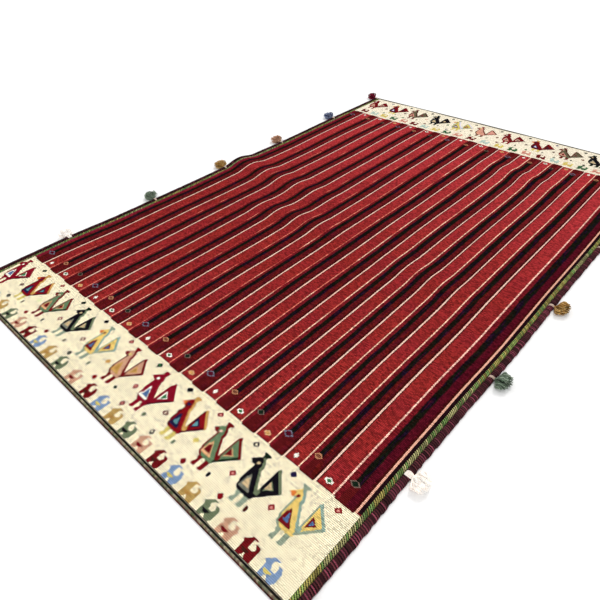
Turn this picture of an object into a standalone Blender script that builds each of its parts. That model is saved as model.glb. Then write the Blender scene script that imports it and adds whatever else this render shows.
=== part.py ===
"""A soumak rug with striped field, woven end panels, wrapped selvedges and side tassels.

The rug lies flat on the floor. X runs across its width, Y along its length towards the far end and Z
up. The origin is at the middle of the underside. Lengths are in metres.

The rug is one woven cloth, two wrapped cords and two overcast selvedges along its sides, a braid
across each end, and a row of yarn tassels on each side. Each is a closed solid of its own, and
neighbours lie a fitting gap apart.
"""

import math
from collections import namedtuple

import bmesh
import bpy

# Driving dimensions.
RUG_WIDTH = 1.507
RUG_LENGTH = 2.306
FIT_GAP = 0.0003
CLOTH_THICKNESS = 0.005
CORD_WIDTH = 0.0115
CORD_HEIGHT = 0.0075
SELVEDGE_WIDTH = 0.0160
SELVEDGE_HEIGHT = 0.0095
BRAID_WIDTH = 0.014
BRAID_HEIGHT = 0.006
TASSEL_TIP = 0.803
TASSEL_FLATTENING = 0.68

# A strip's edges stand at this share of its crown height.
EDGE_SHARE = 0.6

# How finely each piece is divided.
ROWS_ALONG = 76
CLOTH_COLUMNS = 12
STRIP_COLUMNS = 2
BRAID_COLUMNS = 24
TASSEL_SEGMENTS = 10

# Worked out from the dimensions above.
HALF_WIDTH = RUG_WIDTH / 2
HALF_LENGTH = RUG_LENGTH / 2
SELVEDGE_INNER = HALF_WIDTH - SELVEDGE_WIDTH
CORD_OUTER = SELVEDGE_INNER - FIT_GAP
CORD_INNER = CORD_OUTER - CORD_WIDTH
CLOTH_HALF_WIDTH = CORD_INNER - FIT_GAP
BRAID_INNER = HALF_LENGTH - BRAID_WIDTH
CLOTH_HALF_LENGTH = BRAID_INNER - FIT_GAP

# Ripples left in the cloth: a crest from (x0, y0) to (x1, y1), its height at the start, middle and
# end, and the distance from the crest at which the cloth is flat on the floor again.
Ridge = namedtuple("Ridge", "x0 y0 x1 y1 start middle end reach")
RIDGES = (
    Ridge(-0.760, 0.070, -0.050, 0.050, start=0.0140, middle=0.0100, end=0.0, reach=0.090),
    Ridge(-0.530, -0.176, 0.090, -0.108, start=0.0, middle=0.0105, end=0.0, reach=0.085),
    Ridge(0.150, -0.123, 0.640, -0.176, start=0.0, middle=0.0080, end=0.0, reach=0.085),
    Ridge(0.030, 0.762, 0.580, 0.632, start=0.0, middle=0.0115, end=0.0, reach=0.085),
)

# How far the sides wander outwards from straight, at places along the length.
Sway = namedtuple("Sway", "y left right")
SIDE_SWAY = (
    Sway(-1.160, 0.000, 0.000),
    Sway(-0.958, 0.005, 0.001),
    Sway(-0.788, 0.007, -0.001),
    Sway(-0.568, -0.003, 0.000),
    Sway(-0.278, -0.005, 0.005),
    Sway(0.072, -0.002, 0.002),
    Sway(0.362, -0.007, 0.003),
    Sway(0.762, 0.000, -0.002),
    Sway(1.160, 0.000, 0.000),
)

# The far panel is shorter at the right: its edge curves back by this much over the width.
FAR_SLANT = 0.036
FAR_PANEL_START = 0.897

# A tassel from its root in the selvedge to its tip: distance out, radius and height of its axis.
Ring = namedtuple("Ring", "reach radius axis")
TASSEL_RINGS = (
    Ring(0.000, 0.0038, 0.0045),
    Ring(0.007, 0.0045, 0.0055),
    Ring(0.011, 0.0100, 0.0080),
    Ring(0.022, 0.0185, 0.0110),
    Ring(0.036, 0.0220, 0.0120),
    Ring(0.046, 0.0195, 0.0120),
    Ring(0.050, 0.0110, 0.0115),
)

COLOURS = {
    "woven_wool": (0.36, 0.02, 0.02, 1.0),
    "green_wool": (0.20, 0.24, 0.09, 1.0),
    "plum_wool": (0.07, 0.015, 0.03, 1.0),
    "braid_wool": (0.16, 0.15, 0.10, 1.0),
    "red_yarn": (0.16, 0.01, 0.03, 1.0),
    "white_yarn": (0.70, 0.62, 0.56, 1.0),
    "sage_yarn": (0.18, 0.24, 0.15, 1.0),
    "gold_yarn": (0.42, 0.24, 0.07, 1.0),
    "tan_yarn": (0.48, 0.26, 0.15, 1.0),
    "blue_yarn": (0.15, 0.18, 0.33, 1.0),
}

# Where each pair of tassels is sewn on, from the near end: the distance along each side.
TasselRow = namedtuple("TasselRow", "yarn left right")
TASSEL_ROWS = (
    TasselRow("red_yarn", -1.137, -1.137),
    TasselRow("white_yarn", -0.777, -0.778),
    TasselRow("sage_yarn", -0.400, -0.406),
    TasselRow("gold_yarn", -0.017, -0.034),
    TasselRow("tan_yarn", 0.346, 0.362),
    TasselRow("blue_yarn", 0.750, 0.757),
    TasselRow("red_yarn", 1.137, 1.137),
)


def clear_scene():
    for obj in list(bpy.data.objects):
        bpy.data.objects.remove(obj, do_unlink=True)


def wool(name):
    material = bpy.data.materials.get(name)
    if material is None:
        material = bpy.data.materials.new(name)
        material.use_nodes = True
        shader = material.node_tree.nodes["Principled BSDF"]
        shader.inputs["Base Color"].default_value = COLOURS[name]
        shader.inputs["Roughness"].default_value = 0.9
        shader.inputs["Metallic"].default_value = 0.0
    return material


def smooth(t):
    t = min(max(t, 0.0), 1.0)
    return t * t * (3 - 2 * t)


def ridge_height(ridge, x, y):
    """Height that one ridge adds at a point of the rug."""
    along_x = ridge.x1 - ridge.x0
    along_y = ridge.y1 - ridge.y0
    length = math.hypot(along_x, along_y)
    t = ((x - ridge.x0) * along_x + (y - ridge.y0) * along_y) / length ** 2
    t = min(max(t, 0.0), 1.0)
    if t < 0.5:
        crest = ridge.start + (ridge.middle - ridge.start) * smooth(2 * t)
    else:
        crest = ridge.middle + (ridge.end - ridge.middle) * smooth(2 * t - 1)
    distance = abs((x - ridge.x0) * along_y - (y - ridge.y0) * along_x) / length
    share = min(distance / ridge.reach, 1.0)
    return crest * (1 - share ** 2) ** 2


def ripple(x, y):
    return sum(ridge_height(ridge, x, y) for ridge in RIDGES)


def side_sway(x, y):
    """Sideways shift of a point: the sides wander, and the middle of the rug stays."""
    before, after = SIDE_SWAY[0], SIDE_SWAY[-1]
    for row, following in zip(SIDE_SWAY, SIDE_SWAY[1:]):
        if row.y <= y <= following.y:
            before, after = row, following
    blend = smooth((y - before.y) / (after.y - before.y))
    left = before.left + (after.left - before.left) * blend
    right = before.right + (after.right - before.right) * blend
    share = min(abs(x) / HALF_WIDTH, 1.0) ** 2
    return right * share if x > 0 else -left * share


def end_slant(x, y):
    """Lengthwise shift of a point, which draws the far panel in towards the right."""
    share = smooth((y - FAR_PANEL_START) / (HALF_LENGTH - FAR_PANEL_START))
    return -FAR_SLANT * share * ((x + HALF_WIDTH) / RUG_WIDTH) ** 2


def lay(point):
    """Moves a point of the straight flat rug to where the cloth lies."""
    x, y = point.x, point.y
    point.x += side_sway(x, y)
    point.y += end_slant(x, y)
    point.z += ripple(x, y)


def add_object(name, bm, material, collection):
    bmesh.ops.recalc_face_normals(bm, faces=bm.faces)
    mesh = bpy.data.meshes.new(name)
    bm.to_mesh(mesh)
    bm.free()
    mesh.materials.append(wool(material))
    obj = bpy.data.objects.new(name, mesh)
    collection.objects.link(obj)
    return obj


def strip(x_range, y_range, columns, rows, height, crown_axis=None):
    """A flat-bottomed strip of cloth. Its top is level, or crowned along its middle."""
    x0, x1 = x_range
    y0, y1 = y_range
    bm = bmesh.new()
    bmesh.ops.create_grid(bm, x_segments=columns, y_segments=rows, size=0.5)
    base = list(bm.faces)
    for vert in bm.verts:
        vert.co.x = x0 + (vert.co.x + 0.5) * (x1 - x0)
        vert.co.y = y0 + (vert.co.y + 0.5) * (y1 - y0)
    raised = bmesh.ops.extrude_face_region(bm, geom=base)
    for vert in (item for item in raised["geom"] if isinstance(item, bmesh.types.BMVert)):
        share = 1.0
        if crown_axis == "x":
            share = 1 - abs(2 * (vert.co.x - x0) / (x1 - x0) - 1)
        elif crown_axis == "y":
            share = 1 - abs(2 * (vert.co.y - y0) / (y1 - y0) - 1)
        vert.co.z = height * (EDGE_SHARE + (1 - EDGE_SHARE) * share)
    for vert in bm.verts:
        lay(vert.co)
    return bm


def make_cloth(collection):
    bm = strip(
        (-CLOTH_HALF_WIDTH, CLOTH_HALF_WIDTH), (-CLOTH_HALF_LENGTH, CLOTH_HALF_LENGTH),
        CLOTH_COLUMNS, ROWS_ALONG, CLOTH_THICKNESS,
    )
    add_object("rug_cloth", bm, "woven_wool", collection)


def make_side_strips(collection):
    """The green wrapped cord and the plum overcast selvedge outside it, on each side."""
    rows = (
        ("wrapped_cord", CORD_INNER, CORD_OUTER, CORD_HEIGHT, "green_wool"),
        ("selvedge", SELVEDGE_INNER, HALF_WIDTH, SELVEDGE_HEIGHT, "plum_wool"),
    )
    along = (-CLOTH_HALF_LENGTH, CLOTH_HALF_LENGTH)
    for name, inner, outer, height, material in rows:
        for side, across in (("left", (-outer, -inner)), ("right", (inner, outer))):
            bm = strip(across, along, STRIP_COLUMNS, ROWS_ALONG, height, crown_axis="x")
            add_object(f"{name}_{side}", bm, material, collection)


def make_end_braids(collection):
    """The braid that finishes each end, over the whole width."""
    across = (-HALF_WIDTH, HALF_WIDTH)
    for end, along in (("near", (-HALF_LENGTH, -BRAID_INNER)), ("far", (BRAID_INNER, HALF_LENGTH))):
        bm = strip(across, along, BRAID_COLUMNS, STRIP_COLUMNS, BRAID_HEIGHT, crown_axis="y")
        add_object(f"end_braid_{end}", bm, "braid_wool", collection)


def make_tassel(name, side, y, yarn, collection):
    """A tuft of cut yarn, turned about an axis that runs out from the selvedge, flat underneath."""
    root = side * (HALF_WIDTH + FIT_GAP) + side_sway(side * HALF_WIDTH, y)
    stretch = (TASSEL_TIP - abs(root)) / TASSEL_RINGS[-1].reach
    lift = ripple(side * HALF_WIDTH, y)
    centre_y = y + end_slant(side * HALF_WIDTH, y)
    bm = bmesh.new()
    for ring in TASSEL_RINGS:
        circle = bmesh.ops.create_circle(bm, segments=TASSEL_SEGMENTS, radius=ring.radius)["verts"]
        for vert in circle:
            across, up = vert.co.x, vert.co.y * TASSEL_FLATTENING + ring.axis
            vert.co = (root + side * ring.reach * stretch, centre_y + across, max(up, 0.0) + lift)
    bmesh.ops.bridge_loops(bm, edges=bm.edges)
    bmesh.ops.holes_fill(bm, edges=bm.edges)
    add_object(name, bm, yarn, collection)


def make_tassels(collection):
    for number, row in enumerate(TASSEL_ROWS, start=1):
        make_tassel(f"tassel_left_{number}", -1, row.left, row.yarn, collection)
        make_tassel(f"tassel_right_{number}", 1, row.right, row.yarn, collection)


def main():
    clear_scene()
    collection = bpy.data.collections.new("soumak_rug")
    bpy.context.scene.collection.children.link(collection)
    make_cloth(collection)
    make_side_strips(collection)
    make_end_braids(collection)
    make_tassels(collection)


main()
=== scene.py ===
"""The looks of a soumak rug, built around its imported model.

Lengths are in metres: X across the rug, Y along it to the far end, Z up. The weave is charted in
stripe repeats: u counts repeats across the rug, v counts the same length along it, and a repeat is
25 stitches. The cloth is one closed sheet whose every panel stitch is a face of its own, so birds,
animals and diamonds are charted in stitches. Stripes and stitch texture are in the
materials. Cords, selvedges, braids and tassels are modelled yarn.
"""

import math
from collections import namedtuple

import bpy
import numpy as np
from mathutils import Matrix


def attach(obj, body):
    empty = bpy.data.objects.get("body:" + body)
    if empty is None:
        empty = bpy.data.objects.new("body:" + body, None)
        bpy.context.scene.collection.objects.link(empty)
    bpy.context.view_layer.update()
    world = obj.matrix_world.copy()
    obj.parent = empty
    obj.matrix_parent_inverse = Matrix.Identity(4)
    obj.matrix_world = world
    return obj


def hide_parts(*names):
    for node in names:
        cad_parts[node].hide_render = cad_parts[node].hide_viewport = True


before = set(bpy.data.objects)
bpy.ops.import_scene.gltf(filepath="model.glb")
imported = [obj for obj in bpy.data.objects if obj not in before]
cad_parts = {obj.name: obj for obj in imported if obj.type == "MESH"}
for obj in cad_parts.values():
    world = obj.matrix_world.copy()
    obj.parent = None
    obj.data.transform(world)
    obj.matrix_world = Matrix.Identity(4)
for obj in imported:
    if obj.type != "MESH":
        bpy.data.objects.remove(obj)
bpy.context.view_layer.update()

# The rug's dimensions, as in its CAD model.
RUG_WIDTH = 1.507
RUG_LENGTH = 2.306
FIT_GAP = 0.0003
CLOTH_THICKNESS = 0.005
CORD_WIDTH = 0.0115
CORD_HEIGHT = 0.0075
SELVEDGE_WIDTH = 0.0160
SELVEDGE_HEIGHT = 0.0095
BRAID_WIDTH = 0.014
BRAID_HEIGHT = 0.006
TASSEL_TIP = 0.803
HALF_WIDTH = RUG_WIDTH / 2
HALF_LENGTH = RUG_LENGTH / 2
SELVEDGE_INNER = HALF_WIDTH - SELVEDGE_WIDTH
CORD_OUTER = SELVEDGE_INNER - FIT_GAP
CORD_INNER = CORD_OUTER - CORD_WIDTH
CLOTH_HALF_WIDTH = CORD_INNER - FIT_GAP
BRAID_INNER = HALF_LENGTH - BRAID_WIDTH
CLOTH_HALF_LENGTH = BRAID_INNER - FIT_GAP

# The weave's own measures, and where the rug's middle is in it.
REPEAT = 0.098
STITCHES = 25
STITCH = 1 / STITCHES
MIDDLE_U = 7.79
MIDDLE_V = 9.392
FIELD_START = -0.02
FIELD_END = 18.64
MOTIF_ZONE = 0.84
FIELD_ROW = 0.2
BACK_ROW = 0.4


def table(columns, *rows):
    """Rows whose values are read by the names of their columns."""
    row = namedtuple("Row", columns)
    return [row(*values) for values in rows]


# Ripples left in the cloth, the sides' wander and the far end's slant, as in the CAD model. A ripple's
# crest runs from (x0, y0) to (x1, y1), with its height given at the start, middle and end.
RIDGES = table(
    "x0 y0 x1 y1 start middle end reach",
    (-0.760, 0.070, -0.050, 0.050, 0.0140, 0.0100, 0.0, 0.090),
    (-0.530, -0.176, 0.090, -0.108, 0.0, 0.0105, 0.0, 0.085),
    (0.150, -0.123, 0.640, -0.176, 0.0, 0.0080, 0.0, 0.085),
    (0.030, 0.762, 0.580, 0.632, 0.0, 0.0115, 0.0, 0.085),
)
SIDE_SWAY = table(
    "y left right",
    (-1.160, 0.000, 0.000), (-0.958, 0.005, 0.001), (-0.788, 0.007, -0.001),
    (-0.568, -0.003, 0.000), (-0.278, -0.005, 0.005), (0.072, -0.002, 0.002),
    (0.362, -0.007, 0.003), (0.762, 0.000, -0.002), (1.160, 0.000, 0.000),
)
FAR_SLANT = 0.036
FAR_PANEL_START = 0.897

# Where each pair of tassels is sewn on, as in the CAD model.
TASSEL_ROWS = table(
    "yarn left right",
    ("red", -1.137, -1.137), ("white", -0.777, -0.778), ("sage", -0.400, -0.406),
    ("gold", -0.017, -0.034), ("tan", 0.346, 0.362), ("blue", 0.750, 0.757),
    ("red", 1.137, 1.137),
)

# How far each thick line strays from its place, in hundredths of a repeat, at three places along it.
STRAYS = table(
    "line near middle far",
    (0.388, 0, 0, 0), (1, 8, 8, 6), (2, 5, 8, 7), (3, 5, 4, 2), (4, 4, 4, 2), (5, 1, 0, -1),
    (6, -1, -2, -5), (7, -2, -3, -11), (8, 4, -2, -4), (9, 5, 0, 2), (10, 8, 3, 8), (11, 5, 2, 10),
    (12, 3, -4, 2), (13, -2, -9, -5), (14, -6, -10, -7), (14.46, -1.6, -1.6, -1.6),
    (14.68, 3.5, 3.5, 3.8), (15, 8, 8, 8), (15.192, 0, 0, 0),
)

# The camera, which looks down on the near right corner.
CAMERA_AT = (1.0254, -1.3683, 1.0172)
CAMERA_HEADING = 44.64
CAMERA_DIP = 39.42
CAMERA_ROLL = -2.88
CAMERA_LENS = 30.95
SENSOR = 36.0


# ---- colours of yarn

def srgb(red, green, blue):
    """A colour given as 0 to 255 on screen, as the linear numbers that shaders use."""
    def linear(channel):
        share = channel / 255
        return share / 12.92 if share <= 0.04045 else ((share + 0.055) / 1.055) ** 2.4
    return (linear(red), linear(green), linear(blue), 1.0)


def shades(*colours):
    return np.array([srgb(*colour) for colour in colours])


YARN = {name: srgb(*colour) for name, colour in dict(
    cream=(255, 243, 208), far_cream=(254, 243, 218), white=(255, 250, 236), crimson=(136, 20, 38),
    wine=(84, 14, 32), red=(136, 22, 28), dark_red=(116, 24, 28), brown=(74, 34, 28),
    sage=(104, 132, 96), pale_sage=(150, 164, 140), bottle=(24, 40, 28), green=(64, 126, 80),
    black=(22, 20, 26), navy=(34, 30, 66), teal=(98, 150, 156), sky=(146, 172, 158),
    blue=(84, 114, 160), yellow=(240, 206, 116), lemon=(226, 214, 116), lime=(228, 232, 176),
    gold=(208, 160, 88), ochre=(184, 136, 70), orange=(224, 124, 60), peach=(226, 174, 126),
    tan=(212, 186, 142), pink=(226, 150, 138), rose=(232, 190, 168), grey=(126, 126, 112),
    slate=(112, 106, 124), taupe=(120, 98, 88), fawn=(190, 132, 96), umber=(120, 70, 52),
    olive=(104, 98, 74), moss=(112, 124, 94), forest=(66, 108, 72), periwinkle=(130, 156, 192),
    clay=(210, 160, 130), honey=(194, 158, 92), mist=(190, 212, 200), lilac=(226, 222, 240),
    straw=(222, 202, 112), blush=(226, 162, 142), maroon=(92, 22, 24), magenta=(118, 24, 32),
).items()}
# Stitches of the striped field take their colour from the cloth's material.
YARN["striped"] = (0.0, 0.0, 0.0, 0.0)
YARN_NAMES = list(YARN)


# ---- where the cloth lies

def smooth(t):
    t = np.clip(t, 0.0, 1.0)
    return t * t * (3 - 2 * t)


def smooth_through(at, places, values):
    """Values at some places, joined by smooth steps."""
    found = np.full(np.shape(at), float(values[0]))
    for number, (start, end) in enumerate(zip(places, places[1:])):
        found += (values[number + 1] - values[number]) * smooth((at - start) / (end - start))
    return found


def ridge_height(ridge, x, y):
    along_x, along_y = ridge.x1 - ridge.x0, ridge.y1 - ridge.y0
    length = math.hypot(along_x, along_y)
    t = ((x - ridge.x0) * along_x + (y - ridge.y0) * along_y) / length ** 2
    crest = smooth_through(t, (0.0, 0.5, 1.0), (ridge.start, ridge.middle, ridge.end))
    distance = np.abs((x - ridge.x0) * along_y - (y - ridge.y0) * along_x) / length
    share = np.minimum(distance / ridge.reach, 1.0)
    return crest * (1 - share ** 2) ** 2


def ripple(x, y):
    return sum(ridge_height(ridge, x, y) for ridge in RIDGES)


def side_sway(x, y):
    places, *sways = zip(*SIDE_SWAY)
    left, right = (smooth_through(y, places, sway) for sway in sways)
    share = np.minimum(np.abs(x) / HALF_WIDTH, 1.0) ** 2
    return np.where(x > 0, right, -left) * share


def end_slant(x, y):
    share = smooth((y - FAR_PANEL_START) / (HALF_LENGTH - FAR_PANEL_START))
    return -FAR_SLANT * share * ((x + HALF_WIDTH) / RUG_WIDTH) ** 2


def lay(points):
    """Moves points of the straight flat rug to where the cloth lies. Points are rows of x, y, z."""
    x, y = points[:, 0].copy(), points[:, 1].copy()
    points[:, 0] += side_sway(x, y)
    points[:, 1] += end_slant(x, y)
    points[:, 2] += ripple(x, y)
    return points


def x_of(u):
    return (u - MIDDLE_U) * REPEAT


def y_of(v):
    return (v - MIDDLE_V) * REPEAT


def u_of(x):
    return x / REPEAT + MIDDLE_U


def v_of(y):
    return y / REPEAT + MIDDLE_V


# ---- meshes and materials

def add_object(name, data):
    obj = bpy.data.objects.new(name, data)
    bpy.context.scene.collection.objects.link(obj)
    return obj


def new_mesh(name, points, faces, colours, sharp_from=None):
    """A mesh object. colours has a row of four numbers for each face."""
    mesh = bpy.data.meshes.new(name)
    mesh.from_pydata(points.tolist(), [], faces)
    sizes = [len(face) for face in faces]
    layer = mesh.color_attributes.new("yarn", "FLOAT_COLOR", "CORNER")
    layer.data.foreach_set("color", np.repeat(colours, sizes, axis=0).astype(np.float32).ravel())
    mesh.shade_smooth()
    if sharp_from is not None:
        mesh.set_sharp_from_angle(angle=math.radians(sharp_from))
    mesh.update()
    return add_object(name, mesh)


def finish_piece(obj, material, nodes):
    """Gives a piece its material and its place in the frame, where it stands for CAD nodes."""
    obj.data.materials.append(material)
    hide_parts(*nodes)
    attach(obj, "root")


def joined_by(operation):
    return lambda wire, other: wire.graph.math(operation, wire, other)


class Wire:
    """A node's output. Sums, products and comparisons of wires add maths nodes."""

    def __init__(self, graph, socket):
        self.graph, self.socket = graph, socket

    __add__ = joined_by("ADD")
    __sub__ = joined_by("SUBTRACT")
    __mul__ = joined_by("MULTIPLY")
    __gt__ = joined_by("GREATER_THAN")
    __lt__ = joined_by("LESS_THAN")


class Graph:
    """A material whose nodes are added by short calls. A wire or a value can feed any input."""

    def __init__(self, name, specular=0.08):
        self.material = bpy.data.materials.new(name)
        self.material.use_nodes = True
        self.tree = self.material.node_tree
        self.shade({"Specular IOR Level": specular})

    def feed(self, socket, value):
        if isinstance(value, Wire):
            self.tree.links.new(value.socket, socket)
        else:
            socket.default_value = value

    def shade(self, inputs):
        """Feeds the material's own shader."""
        for name, value in inputs.items():
            self.feed(self.tree.nodes["Principled BSDF"].inputs[name], value)

    def node(self, kind, inputs, output=0, **settings):
        made = self.tree.nodes.new(kind)
        for key, value in settings.items():
            setattr(made, key, value)
        for key, value in inputs.items():
            self.feed(made.inputs[key], value)
        return Wire(self, made.outputs[output])

    def math(self, operation, *values):
        return self.node("ShaderNodeMath", dict(enumerate(values)), operation=operation)

    def floor(self, value):
        return self.math("FLOOR", value)

    def fract(self, value):
        return self.math("FRACT", value)

    def attribute(self, name, output):
        return self.node("ShaderNodeAttribute", {}, output, attribute_name=name)

    def vector(self, x, y, z=0.0):
        return self.node("ShaderNodeCombineXYZ", {0: x, 1: y, 2: z})

    def noise(self, vector, scale, detail=2.0, roughness=0.5):
        inputs = {"Vector": vector, "Scale": scale, "Detail": detail, "Roughness": roughness}
        return self.node("ShaderNodeTexNoise", inputs, "Fac")

    def random(self, x, y, z=0.0):
        return self.node("ShaderNodeTexWhiteNoise", {"Vector": self.vector(x, y, z)}, "Value")

    def mix(self, share, first, second, blend="MIX"):
        """Blends two colours. A mix node's inputs 0, 6 and 7 and output 2 are those for colours."""
        inputs = {0: share, 6: first, 7: second}
        return self.node("ShaderNodeMix", inputs, 2, data_type="RGBA", blend_type=blend)

    def times(self, colour, value):
        grey = self.node("ShaderNodeCombineColor", {0: value, 1: value, 2: value})
        return self.mix(1.0, colour, grey, "MULTIPLY")

    def ramp(self, value, stops):
        wire = self.node("ShaderNodeValToRGB", {"Fac": value}, "Color")
        elements = wire.socket.node.color_ramp.elements
        for index, (place, colour) in enumerate(stops):
            stop = elements[index] if index < 2 else elements.new(place)
            stop.position = place
            stop.color = colour
        return wire

    def rise(self, value, start, end, low=0.0, high=1.0):
        inputs = {"Value": value, "From Min": start, "From Max": end, "To Min": low, "To Max": high}
        return self.node("ShaderNodeMapRange", inputs, interpolation_type="SMOOTHSTEP")

    def band(self, value, start, end):
        """1 where the value is between start and end, else 0."""
        return (value > start) * (value < end)

    def bump(self, height, distance):
        self.shade({"Normal": self.node("ShaderNodeBump", {"Height": height, "Distance": distance})})


# ---- the cloth's stripes and stitches

LINE_CREAM = srgb(255, 217, 196)
LINE_PINK = srgb(255, 200, 180)
FAR_LINE = srgb(255, 204, 190)
LAST_LINE = srgb(240, 180, 154)
THIN_PALE = srgb(255, 206, 176)
THIN_RED = srgb(226, 122, 102)
THIN_LOST = srgb(172, 60, 54)
BRIGHT_RED = srgb(151, 43, 40)
BRIGHT_CRIMSON = srgb(147, 40, 43)
# The far red and far maroon are lighter: painted sheen, as of wool seen at a grazing angle.
FAR_SHEEN_RED = srgb(182, 55, 59)
MAROON_WARM = srgb(104, 26, 22)
MAROON_WINE = srgb(88, 20, 32)
MAROON_PLUM = srgb(84, 16, 30)
FAR_SHEEN_MAROON = srgb(114, 29, 33)
MAGENTA = srgb(118, 26, 34)
FIRST_MAGENTA = srgb(132, 30, 54)
EDGE_DARK = srgb(66, 16, 16)
LAST_DARK = srgb(34, 16, 22)
BAND_YARNS = (
    (0.00, srgb(60, 20, 16)),
    (0.38, srgb(32, 18, 14)),
    (0.46, srgb(20, 28, 18)),
    (0.53, srgb(24, 15, 14)),
    (0.60, srgb(24, 17, 38)),
    (0.72, srgb(62, 15, 32)),
)

# Where each stripe of a repeat starts and ends, counted from just left of the thick line.
PHASE_START = 0.06
STRIPE = {
    "thick": (0.036, 0.084),
    "bright": (0.106, 0.51),
    "thin": (0.505, 0.543),
    "magenta": (0.543, 0.67),
    "black": (0.632, 0.765),
    "last": (0.028, 0.092),
}
UNEVEN_SEWING = 0.008
BAND_WANDER = 0.05
BAND_SHIFT = 0.030
WIDER_BAND = 0.022
FINER_LINE = 0.010
FIRST_LINE = 0.5
LAST_WIDE = 13.5
AFTER_LAST = 14.5
# Where the far field's painted sheen, and its pinker thick line, begin.
FAR_FROM = 6.0

# Dye lots change along each stripe, and from one repeat to the next: how far the noise moves for
# each repeat, its scale, and a seed. Streaks have their scales across and along, and a seed.
LOTS = {
    "bright": (7.3, 0.9, 0.0), "thick": (3.1, 2.6, 5.0), "thin": (5.7, 0.8, 9.0),
    "black": (4.9, 1.7, 12.0),
}
STREAKS = {"maroon": (22.0, 2.2, 2.0), "black": (16.0, 1.6, 4.0)}


def stripe_colour(graph, u, v):
    """The striped field, at places u and v of the weave."""
    mix, rise = graph.mix, graph.rise
    row = graph.floor(v * STITCHES)
    uneven = graph.random(row, graph.floor(u)) - 0.5
    shifted = uneven * UNEVEN_SEWING + u + PHASE_START
    phase, repeat = graph.fract(shifted), graph.floor(shifted)

    def lots(name):
        spacing, speed, seed = LOTS[name]
        return graph.noise(graph.vector(repeat * spacing, v, seed), speed)

    def streaks(name):
        across, along, seed = STREAKS[name]
        return graph.noise(graph.vector(u * across, v * along, seed), 1.0, detail=3.0)

    # Painted sheen: towards the far end the reds and maroons turn lighter, as wool does when seen at a
    # grazing angle. The thick line takes a pinker cream there.
    far = rise(v, FAR_FROM, FIELD_END)
    bright = mix(rise(lots("bright"), 0.35, 0.65), BRIGHT_RED, BRIGHT_CRIMSON)
    bright = mix(far, bright, FAR_SHEEN_RED)
    maroon = mix(rise(streaks("maroon"), 0.38, 0.62), MAROON_WARM, MAROON_WINE)
    maroon = mix(far, maroon, FAR_SHEEN_MAROON)
    thick = mix(rise(lots("thick"), 0.40, 0.66), LINE_CREAM, LINE_PINK)
    thick = mix(far, thick, FAR_LINE)

    # The thin line all but fades between some repeats, most of all further in and to the left.
    faded = lots("thin") + rise(repeat, 4.5, 12.0, 0.18, -0.28) - rise(v, 1.5, 3.5, 0.14, 0.0)
    thin = mix(rise(faded, 0.34, 0.46), THIN_PALE, THIN_RED)
    thin = mix(rise(faded, 0.52, 0.62), thin, THIN_LOST)

    # The first repeat has no bright stripe. The last ones have a deeper maroon and a tan line.
    first, last, after_last = repeat < FIRST_LINE, repeat > LAST_WIDE, repeat > AFTER_LAST
    bright = mix(after_last, mix(first, bright, FIRST_MAGENTA), LAST_DARK)
    maroon = mix(last, maroon, MAROON_PLUM)
    thin = mix(first, mix(last, thin, LINE_PINK), FIRST_MAGENTA)

    colour = mix(rise(phase, 0.95, 1.0), maroon, EDGE_DARK)
    for name, stripe in (("bright", bright), ("magenta", MAGENTA), ("thin", thin)):
        colour = mix(graph.band(phase, *STRIPE[name]), colour, stripe)

    # The black band's edges wander with each lot of yarn, and it lies further right to the right.
    # Towards the far right it is wider, and the thick line is finer.
    wander = (lots("black") - 0.5) * BAND_WANDER
    in_band = phase - (wander + rise(repeat, 6.0, 9.5, 0.0, BAND_SHIFT))
    far_right = rise(v, 4.0, 12.0) * rise(repeat, 5.0, 11.0)
    wider = far_right * WIDER_BAND
    start, end = STRIPE["black"]
    rising = rise(in_band + wider, start - 0.025, start + 0.015)
    falling = rise(in_band - wider, end - 0.010, end + 0.035, 1.0, 0.0)
    colour = mix(rising * falling, colour, graph.ramp(streaks("black"), BAND_YARNS))
    colour = mix(phase < STRIPE["bright"][0], colour, EDGE_DARK)

    # Unevenly dyed lengths of yarn, each two stitches long. The pale lines are dyed evenly.
    pair = graph.floor(u * (STITCHES / 2))
    colour = graph.times(colour, rise(graph.random(pair, row, 3.0), 0.0, 1.0, 0.68, 1.28))
    start, end = STRIPE["thick"]
    colour = mix(graph.band(phase, start, far_right * -FINER_LINE + end), colour, thick)
    return mix(after_last * graph.band(phase, *STRIPE["last"]), colour, LAST_LINE)


# How much of the height is the row's rib and how much its stitches, and how far stitches lean.
RIB_SHARE = 0.68
STITCH_SHARE = 0.32
STITCH_LEAN = 0.6
WEAVE_BUMP = 0.0011


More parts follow.
